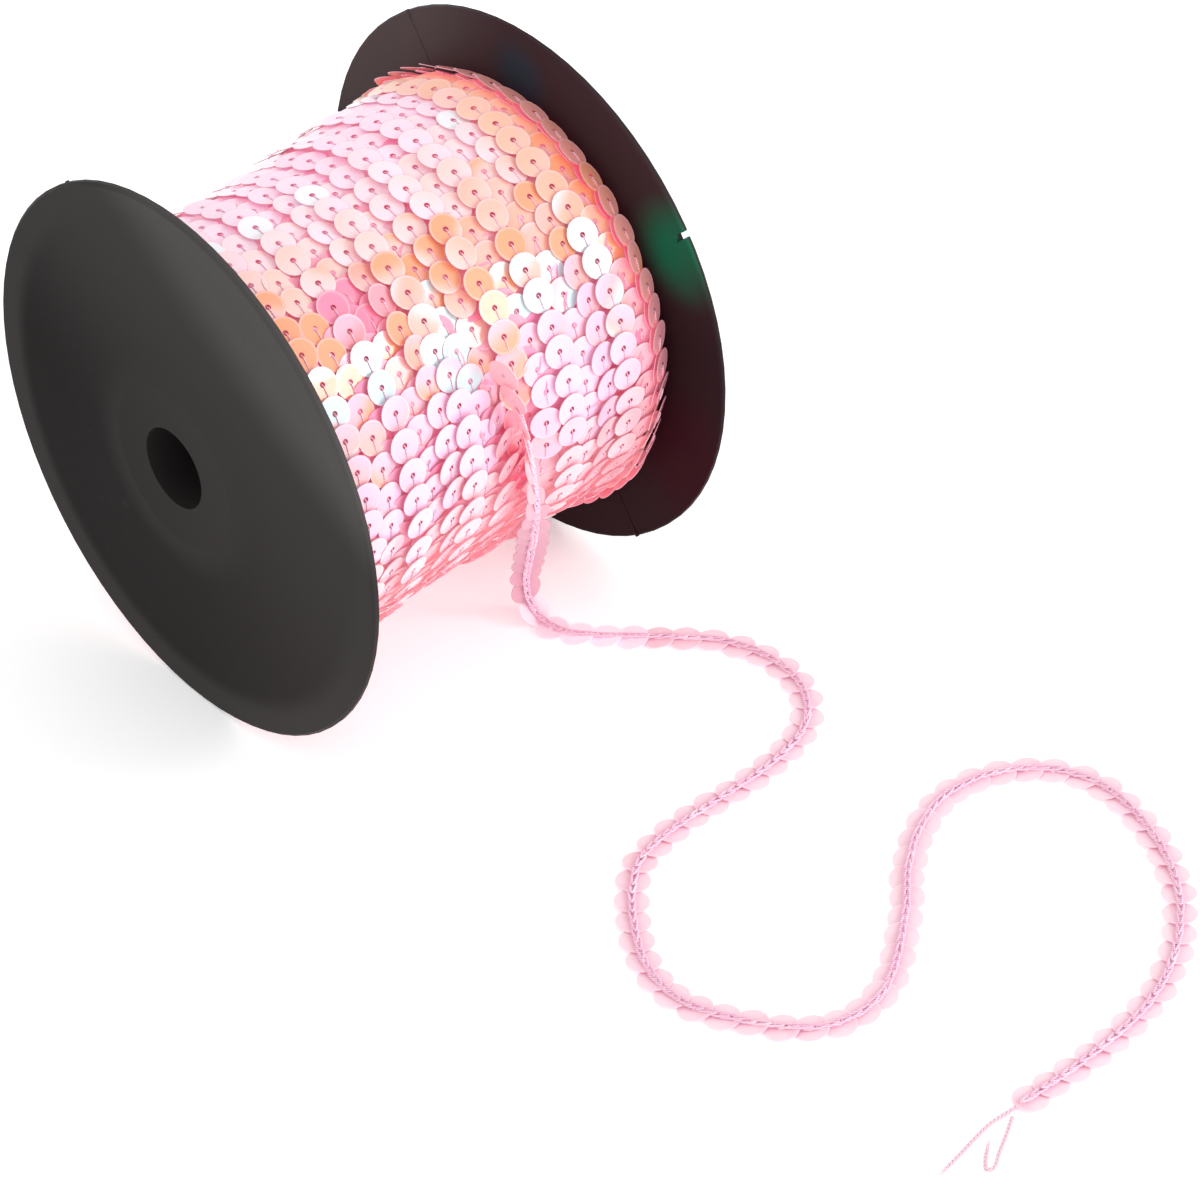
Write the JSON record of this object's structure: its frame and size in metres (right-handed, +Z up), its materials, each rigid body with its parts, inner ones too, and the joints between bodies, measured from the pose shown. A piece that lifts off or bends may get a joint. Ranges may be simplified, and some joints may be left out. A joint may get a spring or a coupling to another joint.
{
  "type": "sequin trim wound on a spool",
  "caption": "Flat round sequins stitched in a line, wound in bands on a plain flanged spool that lies on its rims, with a loose end of the trim running out over the surface.",
  "frame": {"origin": "on the surface, in the middle under the spool, without the loose end", "axes": "+X along the spool's axis towards the flange with the thread catch, +Z up, -Y towards the side where the loose end runs out"},
  "size_m": [0.0989, 0.2213, 0.0998],
  "materials": {
    "spool_black": "satin moulded styrene, charcoal black",
    "sequins_front": "glossy film sequins, pink with a pearly shift to peach, lilac and icy white",
    "sequins_back": "back of the sequins, pale pink, slightly translucent",
    "stitch_thread": "fine twisted polyester thread, pale pink, matt"
  },
  "bodies": {
    "root": {"spool": "spool_black", "wound_trim": "sequins_front", "loose_end": "sequins_back", "thread_end": "stitch_thread", "thread_loop": "stitch_thread"}
  },
  "joints": []
}
